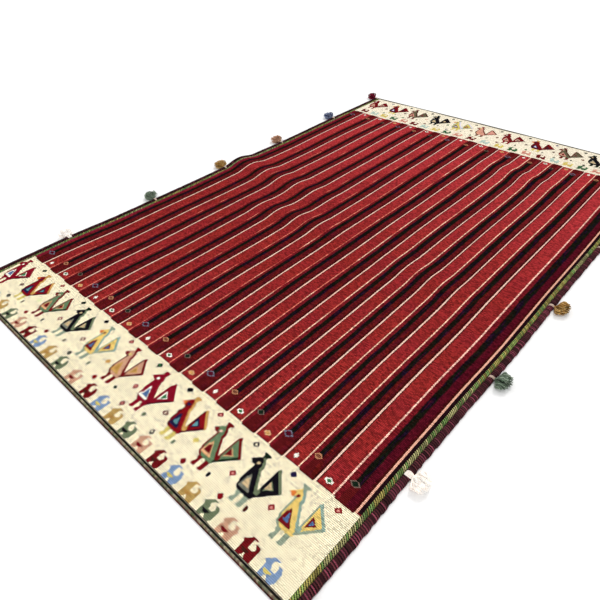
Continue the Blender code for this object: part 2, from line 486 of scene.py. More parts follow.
def woven_material():
    """Soumak weave: rows of slanted stitches, ribbed across the rug."""
    graph = Graph("woven_wool", specular=0.0)
    flat = graph.attribute("flat", "Vector")
    u, v = (graph.node("ShaderNodeSeparateXYZ", {0: flat}, axis) for axis in "XY")
    across, along = u * STITCHES, v * STITCHES
    in_row, row = graph.fract(along), graph.floor(along)

    # Each row is a rounded rib; its stitches lean one way, and the next row's the other way.
    rib = graph.math("SINE", in_row * math.pi)
    odd = graph.math("PINGPONG", row, 1.0)
    stitch_at = (in_row - 0.5) * (odd * (2 * STITCH_LEAN) - STITCH_LEAN) + across
    wrap = graph.math("ABSOLUTE", graph.math("SINE", stitch_at * math.pi))
    height = rib * RIB_SHARE + wrap * STITCH_SHARE

    cell = graph.random(graph.floor(stitch_at), row, 1.0)
    spun = graph.noise(graph.vector(across, along * 0.8), 2.2, detail=3.0)
    worn = graph.noise(graph.vector(u, v), 0.55, detail=1.0)
    # Painted shade: the grooves between the rows' ribs and between stitches are darker.
    light = graph.rise(height, 0.15, 0.80, 0.28, 1.21)
    for noise, low, high, darkest, lightest in (
        (odd, 0.0, 1.0, 1.03, 0.95),
        (graph.random(row, 7.0), 0.0, 1.0, 0.94, 1.04),
        (cell, 0.0, 0.3, 0.68, 1.0),
        (cell, 0.4, 1.0, 1.0, 1.12),
        (spun, 0.3, 0.7, 0.90, 1.08),
        (worn, 0.3, 0.7, 0.98, 1.02),
    ):
        light = light * graph.rise(noise, low, high, darkest, lightest)
    sewn = graph.attribute("yarn", "Color")
    weave = graph.mix(graph.attribute("yarn", "Alpha"), stripe_colour(graph, u, v), sewn)
    roughness = graph.rise(spun, 0.3, 0.7, 0.82, 0.95)
    graph.shade({"Base Color": graph.times(weave, light), "Roughness": roughness})
    fuzz = graph.noise(graph.vector(across, along, 3.0), 6.0) * 0.22
    graph.bump(height + fuzz, WEAVE_BUMP)
    return graph.material


# ---- charts for the ends

# Each stitch is tried in the middles of its west, east, south and north quarters.
QUARTERS = np.array([(-1 / 3, 0.0), (1 / 3, 0.0), (0.0, -1 / 3), (0.0, 1 / 3)])
WHOLE, RISING, FALLING = range(3)


class Chart:
    """Stitches at one end of the cloth. Columns start at u 0 and rows at the field's edge."""

    def __init__(self, columns, rows, ground):
        column, row = np.meshgrid(columns, rows)
        self.column = column[..., None] + QUARTERS[:, 0]
        self.row = row[..., None] + QUARTERS[:, 1]
        self.yarn = np.full(self.column.shape, YARN_NAMES.index(ground))
        self.worked = np.zeros(self.column.shape, bool)

    def fill(self, inside, yarn):
        self.yarn[inside] = YARN_NAMES.index(yarn)
        self.worked |= inside

    def inside(self, outline, at):
        """Where the chart is inside an outline, whose corners are in stitches from a point."""
        x, y = self.column - at[0], self.row - at[1]
        found = np.zeros(x.shape, bool)
        for (x0, y0), (x1, y1) in zip(outline, outline[1:] + outline[:1]):
            if y0 == y1:
                continue
            crosses = (y0 > y) != (y1 > y)
            found ^= crosses & (x < (x1 - x0) * (y - y0) / (y1 - y0) + x0)
        return found

    def beside(self, line, reach, at):
        """Where the chart is within reach of an open line of corners."""
        found = np.zeros(self.column.shape, bool)
        for (x0, y0), (x1, y1) in zip(line, line[1:]):
            x, y = self.column - at[0] - x0, self.row - at[1] - y0
            run, climb = x1 - x0, y1 - y0
            share = np.clip((x * run + y * climb) / (run ** 2 + climb ** 2), 0, 1)
            found |= np.hypot(x - run * share, y - climb * share) < reach
        return found

    def diamond(self, at, across, along, ring, centre=None, hollow=0.5):
        reach = np.abs(self.column - at[0]) / across + np.abs(self.row - at[1]) / along
        self.fill(reach <= 1.0, ring)
        if centre is not None:
            self.fill(reach <= hollow, centre)

    def halves(self):
        """Yarns of each stitch's lower and upper half, and how the line between them slants."""
        west, east, south, north = np.moveaxis(self.yarn, -1, 0)
        plain = (west == east) | (south == north)
        most = np.where(west == east, west, south)
        lower = np.where(plain, most, south)
        upper = np.where(plain, most, north)
        for_rising = (south == east).astype(int) + (north == west)
        for_falling = (south == west).astype(int) + (north == east)
        slant = np.where(for_rising >= for_falling, RISING, FALLING)
        return lower, upper, np.where(lower == upper, WHOLE, slant)


# A bird, in stitches from the column of its beak's tip and the row of its feet.
BIRD_BODY = [
    (7.6, 6.3), (17.2, 6.3), (18.3, 8.6), (17.4, 12.3), (10.2, 22.8), (9.4, 26.8), (6.8, 30.4),
    (4.2, 30.4), (-0.7, 25.4), (2.8, 23.2), (4, 23.6), (3.6, 18.5), (4.2, 12), (5.4, 8.6),
]
BIRD_TAIL = [(17, 7.6), (28.9, 20.3), (18, 31.4), (16.7, 27.5), (16.8, 12)]
BIRD_CREST = [(4.2, 30), (6.9, 30), (8, 33.4), (3, 33.4)]
BIRD_LEGS = (
    [(8, 6.5), (11.4, 6.5), (11.1, 3), (11.3, 0.8), (10.8, 0), (7.8, 0), (8.9, 3)],
    [(13.6, 6.5), (17, 6.5), (16.7, 3), (16.8, 0.8), (16.2, 0), (13.2, 0), (14.4, 3)],
)

# Lines worked along a bird's edges, the part of it they keep to, and how far they reach.
BIRD_LINES = table(
    "yarn part reach line",
    ("front", "tail", 1.1, [(18, 31.4), (16.7, 27.5), (16.8, 12)]),
    ("keel", "tail", 1.6, [(28.9, 20.3), (17.3, 7.7)]),
    ("front", "body", 1.2, [(7.6, 6.3), (5.4, 8.6), (4.2, 12), (3.6, 18.5), (4, 23.6)]),
    ("edge", "whole", 1.7, [(6.5, 31), (9.2, 27), (9.8, 23.8), (17.5, 12)]),
    ("edge", "tail", 1.7, [(18, 31.4), (28.9, 20.3)]),
)

# Shapes worked over a bird. Those inside a ring are wider where its yarn is worked thinly.
BIRD_DETAILS = table(
    "yarn outline wide",
    ("ring", [(6.9, 19.3), (5.7, 9.2), (14, 9.2)], None),
    ("heart", [(8.1, 16.2), (7.4, 10.9), (11.5, 10.9)], [(7.8, 17.2), (6.9, 10.4), (12.5, 10.4)]),
    ("fan_ring", [(18.6, 23.2), (18.8, 14.6), (23.7, 18.9)], None),
    ("fan", [(19.6, 21.2), (19.7, 16.6), (22.3, 18.9)], [(19.3, 21.7), (19.4, 16.1), (22.7, 18.9)]),
    ("beak", [(-0.7, 25.2), (2.4, 28), (2.8, 23.2)], None),
    ("eye", [(3.6, 25), (5.7, 25), (5.7, 26.8), (3.6, 26.8)], None),
)
THIN_RINGS = ("white", "grey", "peach")

PLUMAGE = "body front edge keel ring heart fan_ring fan legs crest beak eye"
PLUMAGES = table(PLUMAGE, *map(str.split, (
    "crimson crimson crimson wine white blue white green crimson crimson crimson white",
    "red maroon gold wine navy teal navy teal straw gold orange navy",
    "sage dark_red dark_red bottle peach dark_red peach dark_red dark_red dark_red dark_red rose",
    "black black moss black grey tan moss tan pale_sage bottle black tan",
    "yellow pale_sage sky pale_sage dark_red blue dark_red blue pale_sage pale_sage orange dark_red",
    "clay maroon dark_red maroon gold ochre gold ochre dark_red red dark_red lemon",
)))
FAR_PLUMAGES = table(PLUMAGE, *map(str.split, (
    "dark_red crimson dark_red wine blush grey rose taupe crimson crimson crimson white",
    "dark_red maroon red wine navy lilac brown navy straw gold orange navy",
    "olive dark_red brown olive blush dark_red taupe dark_red dark_red dark_red dark_red rose",
    "black black black black grey tan black tan bottle bottle black tan",
    "straw pale_sage lilac pale_sage taupe lilac umber fawn straw pale_sage orange dark_red",
    "blush maroon umber maroon peach pink blush pink umber red dark_red lemon",
)))


def bird(chart, at, plumage):
    body, tail = chart.inside(BIRD_BODY, at), chart.inside(BIRD_TAIL, at)
    parts = {"body": body, "tail": tail, "whole": body | tail}
    for leg in BIRD_LEGS:
        chart.fill(chart.inside(leg, at), plumage.legs)
    chart.fill(chart.inside(BIRD_CREST, at), plumage.crest)
    chart.fill(parts["whole"], plumage.body)
    for yarn, part, reach, line in BIRD_LINES:
        chart.fill(parts[part] & chart.beside(line, reach, at), getattr(plumage, yarn))
    for yarn, outline, wide in BIRD_DETAILS:
        shape = wide if wide and plumage.ring in THIN_RINGS else outline
        chart.fill(chart.inside(shape, at), getattr(plumage, yarn))


# A small horned animal, in stitches from its nose's column and the row of its feet.
ANIMAL_SHAPE = [
    (1.3, 0), (4.3, 0), (5.8, 2.4), (7.4, 0), (10.8, 0), (11.4, 2), (11.5, 7), (10.8, 9), (9, 9.7),
    (7.2, 9), (8.7, 8.4), (9.2, 7), (8.6, 5.4), (5.4, 5.4), (5, 8), (5.2, 10), (7.3, 10.5),
    (7.2, 11.2), (3.6, 11), (2.8, 9.8), (0, 7.4), (1.5, 6.2),
]
ANIMAL_BELLY = [(2, 3.5), (3.5, 2.7), (6.5, 2.7), (8, 3.5), (6.5, 4.3), (3.5, 4.3)]
NEAR_COATS = table(
    "hair belly", ("dark_red", "brown"), ("periwinkle", "straw"), ("honey", "ochre"),
    ("moss", "black"), ("clay", "dark_red"),
)
FAR_COATS = table(
    "hair belly", ("dark_red", "brown"), ("mist", "pale_sage"), ("straw", "gold"),
    ("forest", "bottle"), ("blush", "dark_red"),
)
ANIMALS = 22
NEAR_PITCHES = ((0, 21), (8, 153), (10, 192), (21, 364))
FAR_PITCHES = ((0, 21), (9, 166), (10, 184.5), (12, 220), (15, 270.5), (21, 364))
ANIMAL_HALF_WIDTH = 5.7

# Small diamonds between the birds. Each kind starts at one bird, and stands a number of stitches
# from that bird or from the one after it. The yarns are taken in turn, ring first.
FILLINGS = table(
    "first ahead column row across along near far",
    (0, 1, -5.3, 33.6, 2.4, 2.5,
     "bottle, red pink, bottle, black, red pink, bottle green, black, red pink, black cream, navy, "
     "red pink",
     "slate, bottle, black, bottle, olive, black, bottle, slate, bottle, black, bottle"),
    (1, 0, -1.3, 11.6, 2.3, 2.6,
     "taupe, lime, red cream, dark_red cream, gold, red pink, maroon cream, straw, red pink, red pink",
     "umber, taupe, rose, sage, umber, umber, taupe, taupe, umber, umber"),
    (1, 1, -11.0, 2.0, 1.5, 2.3,
     "olive, bottle, olive, moss, bottle, moss, moss, black, brown",
     "sage, olive, grey, grey, moss, bottle, grey, bottle, olive"),
    (1, 0, 4.3, -2.4, 2.1, 2.5,
     "black grey, red, dark_red, black grey, red, dark_red pink, black cream, dark_red, red",
     "moss, sage, umber, slate, moss, dark_red, sage, grey, black"),
)
SMALL_HOLLOW = 0.42

# Diamonds where the field meets each panel: in the bright stripe, and where the black band ends.
ORNAMENT = "across along ring centre hollow"
BRIGHT_PLACE = (5.5, 5.0)
BRIGHT_ORNAMENTS = table(
    ORNAMENT, (3.0, 2.6, "peach", "gold", 0.45), (2.1, 2.2, "white", None, 0.5),
    (3.0, 2.6, "white", "green", 0.5),
)
BAND_PLACE = (16.0, 13.0)
BAND_ORNAMENTS = table(
    ORNAMENT, (3.9, 2.9, "slate", "wine", 0.72), (3.4, 2.6, "fawn", "umber", 0.55),
    (3.0, 2.5, "taupe", "bottle", 0.68),
)
REPEATS = 15

# Short bands at the field's edge: yarn, depths in the field, and where they run in a repeat.
EDGE_BANDS = (
    ("maroon", -1, 0, 12.6, 23.6), ("maroon", 0, BAND_PLACE[1], 14.7, 19.1),
    ("magenta", 0, 1, 1.2, 11.0),
)

# The two ends. Rows are counted from the field's edge, away from the near end of the rug. The far
# birds are a little longer.
End = namedtuple(
    "End", "name ground edge inward animals birds bird_columns stretch plumages coats pitches"
)
NEAR_END = End(
    "near", "cream", FIELD_START, 1, -55.2, -38.7,
    (9, 43, 75, 110, 145, 180, 214.5, 247.8, 279, 312, 343, 374),
    1.0, PLUMAGES, NEAR_COATS, NEAR_PITCHES,
)
FAR_END = End(
    "far", "far_cream", FIELD_END, -1, 4.0, 20.0,
    (8.5, 43, 74.5, 108.5, 140.5, 174, 209.5, 246, 279, 312, 343, 374),
    1.05, FAR_PLUMAGES, FAR_COATS, FAR_PITCHES,
)


def panel_motifs(chart, end):
    """Small animals, birds and the diamonds between them."""
    for number in range(ANIMALS):
        middle = np.interp(number, *zip(*end.pitches))
        at = (middle - ANIMAL_HALF_WIDTH, end.animals)
        coat = end.coats[number % len(end.coats)]
        chart.fill(chart.inside(ANIMAL_SHAPE, at), coat.hair)
        chart.fill(chart.inside(ANIMAL_BELLY, at), coat.belly)
    for kind in FILLINGS:
        for number, yarns in enumerate(getattr(kind, end.name).split(", ")):
            column = end.bird_columns[kind.first + number + kind.ahead] + kind.column
            place = (column, end.birds + kind.row)
            ring, *centre = yarns.split()
            chart.diamond(place, kind.across, kind.along, ring, *centre, hollow=SMALL_HOLLOW)
    column = chart.column
    for number, start in enumerate(end.bird_columns[:-1]):
        chart.column = (column - start) / end.stretch
        bird(chart, (0.0, end.birds), end.plumages[number % len(end.plumages)])
    chart.column = column


def field_motifs(chart, end):
    """The striped field's own end: diamonds, short bands and a slightly stepped edge."""
    depth = end.inward * chart.row
    in_repeat = np.mod(chart.column, STITCHES)
    chart.yarn[depth > 0] = YARN_NAMES.index("striped")
    for yarn, shallow, deep, left, right in EDGE_BANDS:
        across = (in_repeat > left) & (in_repeat < right)
        chart.fill((depth > shallow) & (depth < deep) & across, yarn)
    for repeat in range(REPEATS):
        for places, ornaments in ((BRIGHT_PLACE, BRIGHT_ORNAMENTS), (BAND_PLACE, BAND_ORNAMENTS)):
            at = (repeat * STITCHES + places[0], end.inward * places[1])
            chart.diamond(at, *ornaments[repeat % 3])


def end_chart(end, columns, rows):
    chart = Chart(columns, rows, end.ground)
    panel_motifs(chart, end)
    field_motifs(chart, end)
    return chart


# ---- the cloth

# The relief of the top: how far motifs and lines stand up, slow waves, and uneven beating. A wave
# has a height, its change across and along, and a shift.
MOTIF_RAISED = 0.0005
THICK_LINE_RAISED = 0.0007
THIN_LINE_RAISED = 0.0004
THIN_LINE_PLACE = 0.46
WAVES = ((0.0007, 1.9, 0.7, 0.0), (0.0008, 0.8, -1.3, 1.0))
UNEVEN_BEATING = 0.00018

# Where a repeat's stripes start on the back, and over what length the field's strays fade in.
BACK_STRIPES = (-0.04, 0.04, 0.24, 0.44, 0.48, 0.64, 0.76)
STRAY_FADE = 0.5


def edges_between(start, end, step, anchor=0.0):
    """start, end, and every multiple of step from anchor that lies well between them."""
    first = math.ceil((start - anchor) / step + 0.3)
    last = math.floor((end - anchor) / step - 0.3)
    return [start] + [anchor + number * step for number in range(first, last + 1)] + [end]


def cloth_columns():
    start, end = u_of(-CLOTH_HALF_WIDTH), u_of(CLOTH_HALF_WIDTH)
    return np.array(edges_between(start, end, STITCH))


def cloth_rows():
    near, far = v_of(-CLOTH_HALF_LENGTH), v_of(CLOTH_HALF_LENGTH)
    near_rows = edges_between(near, FIELD_START + MOTIF_ZONE, STITCH, anchor=FIELD_START)
    far_rows = edges_between(FIELD_END - MOTIF_ZONE, far, STITCH, anchor=FIELD_END)
    count = round((far_rows[0] - near_rows[-1]) / FIELD_ROW)
    field_rows = np.linspace(near_rows[-1], far_rows[0], count + 1)
    return np.array(near_rows[:-1] + list(field_rows) + far_rows[1:])


def stray(line, v):
    """How far the weave strays sideways, in repeats. In the panels it runs straight."""
    lines, *amounts = zip(*STRAYS)
    near, middle, far = (np.interp(line, lines, amount) for amount in amounts)
    t = v / FIELD_END * 2
    found = near + (middle - near) * smooth(t) + (far - middle) * smooth(t - 1)
    in_field = smooth(1 + v / STRAY_FADE) * smooth(1 + (FIELD_END - v) / STRAY_FADE)
    return found / 100 * in_field


def woven_place(line, v):
    """The laid place of points of the weave, on the floor side of the cloth."""
    u = line + stray(line, v)
    points = np.stack([x_of(u).ravel(), y_of(v).ravel(), np.zeros(u.size)], axis=1)
    return lay(points)


def bulge(distance, reach):
    return np.clip(1 - (distance / reach) ** 2, 0.0, None)


def surface_relief(line, v, random):
    """Height of the top over its mean: raised lines, slow waves and uneven beating."""
    phase = np.mod(line + 0.5, 1.0) - 0.5
    in_field = (v > FIELD_START) & (v < FIELD_END)
    thick = THICK_LINE_RAISED * bulge(phase, 0.05)
    thin = THIN_LINE_RAISED * bulge(phase - THIN_LINE_PLACE, 0.035)
    waves = sum(
        height * np.sin(across * line + along * v + shift) for height, across, along, shift in WAVES
    )
    beating = UNEVEN_BEATING * random.standard_normal(line.shape)
    return (thick + thin) * in_field + waves + beating


def grid_corners(index):
    """Corners of each face of a grid of points: near left, near right, far right, far left."""
    return np.stack([index[:-1, :-1], index[:-1, 1:], index[1:, 1:], index[1:, :-1]], axis=-1)


def cloth_stitches(columns, rows):
    """Lower and upper yarn, slant and height of each top face."""
    middle_u = (columns[:-1] + columns[1:]) / 2 / STITCH
    middle_v = (rows[:-1] + rows[1:]) / 2
    size = (len(middle_v), len(middle_u))
    lower = np.full(size, YARN_NAMES.index("striped"))
    upper = lower.copy()
    slant = np.full(size, WHOLE)
    raised = np.zeros(size, bool)
    for end, here in (
        (NEAR_END, middle_v < FIELD_START + MOTIF_ZONE),
        (FAR_END, middle_v > FIELD_END - MOTIF_ZONE),
    ):
        chart = end_chart(end, middle_u, (middle_v[here] - end.edge) / STITCH)
        lower[here], upper[here], slant[here] = chart.halves()
        raised[here] = chart.worked.any(axis=-1)
    return lower, upper, slant, raised


# Which corners make each half of a face, for the two ways a face can be split.
HALVES = {RISING: ((0, 1, 2), (0, 2, 3)), FALLING: ((0, 1, 3), (1, 2, 3))}


def stitch_faces(corners, lower, upper, slant):
    """Faces and their colours: one for a plain stitch, two triangles for one that changes yarn."""
    colours = np.array([YARN[name] for name in YARN_NAMES])
    plain = slant == WHOLE
    faces = corners[plain].tolist()
    tints = [colours[lower[plain]]]
    for way, (low, high) in HALVES.items():
        split = slant == way
        for half, yarn in ((low, lower), (high, upper)):
            faces += corners[split][:, half].tolist()
            tints.append(colours[yarn[split]])
    return faces, np.concatenate(tints)


def corner_mean(cells):
    """Mean of the cells that meet at each point of a grid."""
    padded = np.pad(cells.astype(float), 1, mode="edge")
    return (padded[:-1, :-1] + padded[:-1, 1:] + padded[1:, :-1] + padded[1:, 1:]) / 4


def stripe_edges(columns):
    """Numbers of the columns where a stripe starts, for the back of the cloth."""
    chosen = {0, len(columns) - 1}
    for repeat in range(REPEATS + 1):
        for place in BACK_STRIPES:
            chosen.add(int(np.abs(columns - (repeat + place)).argmin()))
    return sorted(chosen)


def thinned(rows, step):
    """Numbers of the rows for the back: the first, the last and about one at each step."""
    chosen = [0]
    for number in range(1, len(rows) - 1):
        boundary = min(abs(rows[number] - FIELD_START), abs(rows[number] - FIELD_END)) < STITCH / 2
        if boundary or rows[number] - rows[chosen[-1]] >= step - STITCH / 4:
            chosen.append(number)
    return chosen + [len(rows) - 1]


def walls(top, back, back_rows, back_columns):
    """Faces that close the sides: each back edge fans out to the finer top edge over it."""
    faces = []
    for fine, coarse, chosen, way in (
        (top[0], back[0], back_columns, 1),
        (top[-1], back[-1], back_columns, -1),
        (top[:, 0], back[:, 0], back_rows, -1),
        (top[:, -1], back[:, -1], back_rows, 1),
    ):
        fine, coarse = fine.tolist(), coarse.tolist()
        for step, (start, end) in enumerate(zip(chosen, chosen[1:])):
            fan = [[coarse[step], fine[i + 1], fine[i]] for i in range(start, end)]
            fan.append([coarse[step], coarse[step + 1], fine[end]])
            faces += [face[::way] for face in fan]
    return faces


def make_cloth():
    random = np.random.default_rng(11)
    columns, rows = cloth_columns(), cloth_rows()
    lower, upper, slant, raised = cloth_stitches(columns, rows)
    line, v = np.meshgrid(columns, rows)
    top = woven_place(line, v)
    relief = surface_relief(line, v, random) + MOTIF_RAISED * corner_mean(raised)
    top[:, 2] += (CLOTH_THICKNESS + relief).ravel()

    back_columns, back_rows = stripe_edges(columns), thinned(rows, BACK_ROW)
    back_line, back_v = np.meshgrid(columns[back_columns], rows[back_rows])
    back = woven_place(back_line, back_v)
    top_index = np.arange(line.size).reshape(line.shape)
    back_index = line.size + np.arange(back_line.size).reshape(back_line.shape)

    faces, colours = stitch_faces(grid_corners(top_index), lower, upper, slant)
    faces += grid_corners(back_index).reshape(-1, 4)[:, ::-1].tolist()
    back_middle = (back_v[:-1, 1:] + back_v[1:, 1:]).ravel() / 2
    in_panel = (back_middle < FIELD_START) | (back_middle > FIELD_END)
    back_colours = np.where(in_panel[:, None], YARN["cream"], YARN["striped"])
    wall_faces = walls(top_index, back_index, back_rows, back_columns)
    wall_colours = np.tile(YARN["maroon"], (len(wall_faces), 1))
    cloth = new_mesh(
        "woven_cloth", np.concatenate([top, back]), faces + wall_faces,
        np.concatenate([colours, back_colours, wall_colours]), sharp_from=50,
    )

    # The material reads each point's place in the weave.
    flat = np.zeros((len(top) + len(back), 3), np.float32)
    flat[:, 0] = np.append(line, back_line)
    flat[:, 1] = np.append(v, back_v)
    layer = cloth.data.attributes.new("flat", "FLOAT_VECTOR", "POINT")
    layer.data.foreach_set("vector", flat.ravel())
    finish_piece(cloth, woven_material(), ["rug_cloth"])


# ---- yarn-wrapped strips

# The colour of a painted glow, which makes the white tufts lighter than their shade.
PAINTED_GLOW_COLOUR = (1.0, 0.97, 0.94, 1.0)
YARN_BUMP = 0.0006


def yarn_material(name, twist=620.0, glow=0.0):
    """Spun wool: colour from the mesh, with fine ply and fuzz. A little glow is painted light."""
    graph = Graph(name)
    place = graph.node("ShaderNodeTexCoord", {}, "Object")
    fibre = graph.noise(place, twist, detail=3.0, roughness=0.6)
    tone = graph.noise(place, 90.0)
    light = graph.attribute("yarn", "Alpha") * graph.rise(fibre, 0.3, 0.7, 0.80, 1.15)
    light = light * graph.rise(tone, 0.3, 0.7, 0.86, 1.12)
    graph.shade({
        "Base Color": graph.times(graph.attribute("yarn", "Color"), light),
        "Roughness": graph.rise(tone, 0.3, 0.7, 0.78, 0.95),
        "Emission Color": PAINTED_GLOW_COLOUR,
        "Emission Strength": glow,
    })
    graph.bump(fibre, YARN_BUMP)
    return graph.material


def drift(count, period, random):
    """Smooth random numbers from 0 to 1 that change over about period steps."""
    knots = random.random(count // period + 3)
    at = np.arange(count) / period
    low = at.astype(int)
    share = smooth(at - low)
    return knots[low] * (1 - share) + knots[low + 1] * share


def groove(turn):
    """How deep a place is in the groove between two turns of yarn, from 0 to 1."""
    return (1 - np.abs(np.sin(math.pi * turn))) ** 2


def face_mean(values):
    """Mean of two opposite corners of each face, for values at the points of some rings."""
    return (values[:-1] + np.roll(values, -1, axis=1)[1:]) / 2


def loft_faces(rings, ring, order):
    """Faces between rings of points, and one over each end. order is how a face's corners run."""
    start = (np.arange(rings - 1) * ring)[:, None]
    corner = np.arange(ring)
    after = (corner + 1) % ring
    corners = [start + corner, start + after, start + ring + after, start + ring + corner]
    faces = np.stack([corners[number] for number in order], axis=2).reshape(-1, 4).tolist()
    ends = [list(range(ring)), list(range((rings - 1) * ring, rings * ring))]
    ends[order[2] < order[1]].reverse()
    return faces + ends


def yarn_loft(name, x, y, z, colours, order):
    """A mesh through rings of points, laid as the cloth lies, with a colour for each side face."""
    points = np.stack(np.broadcast_arrays(x, y, z), axis=2)
    faces = loft_faces(*points.shape[:2], order)
    colours = np.concatenate([colours.reshape(-1, 4), colours[0, :1], colours[-1, :1]])
    return new_mesh(name, lay(points.reshape(-1, 3)), faces, colours, sharp_from=75)


# A strip's section is an arch over a narrower base. Each turn of yarn narrows it at the groove.
SECTION_POINTS = 8
BASE_PLACES = (-0.9, 0.9)
ARCH_FOOT = 0.30
ARCH_POWER = 0.8
GROOVE_PINCH = 0.06
TURN_PITCH = 0.0031
GROOVE_SHADE = 0.5
STRIP_STEP = 0.00062
WANDER_STEPS = 16
OVERCAST = 0.0025
CORD_SPREAD = 0.0011
TURNS = 4000

STRIPS = table(
    "piece node wool inner outer height lean depth uneven lot light dark",
    ("wrapped_green_cord", "wrapped_cord", "green_wool",
     CORD_INNER - CORD_SPREAD, CORD_OUTER, CORD_HEIGHT, 1.6, 0.30, 0.0, 40,
     shades((168, 190, 106), (198, 184, 104), (138, 174, 98), (196, 190, 132)),
     shades((44, 60, 24), (66, 56, 28), (34, 48, 24), (56, 52, 32))),
    ("overcast_selvedge", "selvedge", "plum_wool",
     SELVEDGE_INNER, HALF_WIDTH + OVERCAST, SELVEDGE_HEIGHT, 0.8, 0.26, 0.0022, 3,
     shades((106, 52, 58), (82, 40, 46), (138, 66, 82), (92, 46, 50)),
     shades((36, 18, 22), (50, 26, 30), (30, 15, 18), (58, 30, 34))),
)


def turn_colours(strip, shade, random):
    """A light and a dark yarn turn by turn, with the dye drifting over some turns and back."""
    place = drift(TURNS, strip.lot, random) + random.uniform(-0.2, 0.2, TURNS)
    lot = (np.clip(place, 0.0, 0.999) * len(strip.light)).astype(int)
    tone = shade * (0.5 + 0.95 * random.random(TURNS))

    def colour_of(turn):
        turn = turn + TURNS // 2
        pick = np.where((turn % 2 == 0)[..., None], strip.light[lot[turn]], strip.dark[lot[turn]])
        return pick * tone[turn][..., None]
    return colour_of


def wrapped_strip(name, strip, side, shade, random):
    """A strip along one side whose yarn is wrapped round it in slanted turns."""
    colour_of = turn_colours(strip, shade, random)
    rows = round(2 * CLOTH_HALF_LENGTH / STRIP_STEP) + 1
    y = np.linspace(-CLOTH_HALF_LENGTH, CLOTH_HALF_LENGTH, rows)[:, None]
    angle = np.linspace(0, math.pi, SECTION_POINTS)
    across = np.append(np.cos(angle), BASE_PLACES)
    up = np.append(ARCH_FOOT + (1 - ARCH_FOOT) * np.sin(angle) ** ARCH_POWER, (0.0, 0.0))
    middle, half = (strip.inner + strip.outer) / 2, (strip.outer - strip.inner) / 2

    turn = y / TURN_PITCH + strip.lean * across * side
    valley = groove(turn)
    on_arch = valley * (np.arange(len(across)) < SECTION_POINTS)
    wander = strip.uneven * (drift(rows, WANDER_STEPS, random)[:, None] - 0.5)
    x = middle + half * across * (1 - GROOVE_PINCH * on_arch) + wander * np.clip(across, 0.0, 1.0)
    z = strip.height * up * (1 - strip.depth * on_arch)

    # Below the arch, the sides and the base take their yarn from its outer foot.
    face_turn = face_mean(turn)
    face_turn[:, -3:] = turn[:-1, :1]
    colours = colour_of(np.floor(face_turn).astype(int))
    colours[..., 3] = 1 - GROOVE_SHADE * face_mean(valley)
    order = (0, 1, 2, 3) if side > 0 else (3, 2, 1, 0)
    return yarn_loft(name, side * x, y, z, colours, order)


def make_side_strips():
    wools = {strip.wool: yarn_material(strip.wool) for strip in STRIPS}
    for side, side_name, side_shades in ((-1, "left", (0.85, 0.55)), (1, "right", (1.0, 1.0))):
        random = np.random.default_rng(22 + side)
        for strip, shade in zip(STRIPS, side_shades):
            made = wrapped_strip(f"{strip.piece}_{side_name}", strip, side, shade, random)
            finish_piece(made, wools[strip.wool], [f"{strip.node}_{side_name}"])


# ---- end braids

# The braid's section from its outer edge to the cloth, then its base: place across, height, yarn of
# the face that follows, and how deep the plait's turns are there.
BRAID_SECTION = table(
    "place height yarn depth",
    (0.00, 0.25, "edge", 0.0), (0.04, 0.55, "edge", 0.1), (0.13, 0.60, "edge", 0.1),
    (0.18, 0.45, "plait", 0.1), (0.27, 0.85, "plait", 0.3), (0.38, 1.00, "plait", 0.35),
    (0.49, 0.85, "plait", 0.3), (0.56, 0.50, "band", 0.0), (0.64, 0.85, "band", 0.2),
    (0.80, 0.85, "band", 0.2), (0.87, 0.50, "pale", 0.0), (0.93, 0.75, "pale", 0.15),
    (1.00, 0.45, "pale", 0.1), (1.00, 0.00, "edge", 0.0), (0.00, 0.00, "edge", 0.0),
)
BRAID_YARNS = {
    "edge": shades((86, 34, 32), (52, 32, 28), (110, 62, 50)),
    "plait": shades((152, 148, 112), (116, 116, 94), (170, 160, 134), (98, 106, 72), (138, 118, 98)),
    "band": shades((30, 26, 24), (38, 40, 34), (24, 22, 26)),
    "pale": shades((224, 216, 190), (240, 230, 204)),
}
BRAID_PITCH = 0.0052
BRAID_STEP = 0.0012
PLAIT_MIDDLE = 0.38
PLAIT_LEAN = 2.6
PLAIT_TURNS = 2000
PLAIT_SHADE = 0.4


def make_end_braid(name, end, shade, wool, random):
    """The flat braid across one end, with a dark edge, a plait, a black band and a pale line."""
    x = np.linspace(-HALF_WIDTH, HALF_WIDTH, round(RUG_WIDTH / BRAID_STEP) + 1)[:, None]
    place, height, kinds, depth = (np.array(column) for column in zip(*BRAID_SECTION))
    lean = np.where(place < PLAIT_MIDDLE, PLAIT_LEAN, -PLAIT_LEAN)
    turn = x / BRAID_PITCH + lean * (place - PLAIT_MIDDLE)
    valley = groove(turn)
    y = end * (HALF_LENGTH - BRAID_WIDTH * place)
    z = BRAID_HEIGHT * height * (1 - depth * valley)

    face_turn = np.floor(face_mean(turn)).astype(int) + PLAIT_TURNS // 2
    pick = random.integers(0, 1000, PLAIT_TURNS)
    tone = shade * (0.8 + 0.4 * random.random(PLAIT_TURNS))
    colours = np.zeros(face_turn.shape + (4,))
    for column, kind in enumerate(kinds):
        turns, yarns = face_turn[:, column], BRAID_YARNS[kind]
        colours[:, column] = yarns[pick[turns] % len(yarns)] * tone[turns][:, None]
    colours[..., 3] = 1 - PLAIT_SHADE * face_mean(valley)
    order = (0, 3, 2, 1) if end < 0 else (1, 2, 3, 0)
    braid = yarn_loft(name, x, y, z, colours, order)
    finish_piece(braid, wool, [name.replace("plaited_", "")])


def make_end_braids():
    wool = yarn_material("braid_wool")
    for end, name, shade in ((-1, "near", 1.0), (1, "far", 0.6)):
        random = np.random.default_rng(32 + end)
        make_end_braid(f"plaited_end_braid_{name}", end, shade, wool, random)


# ---- tassels

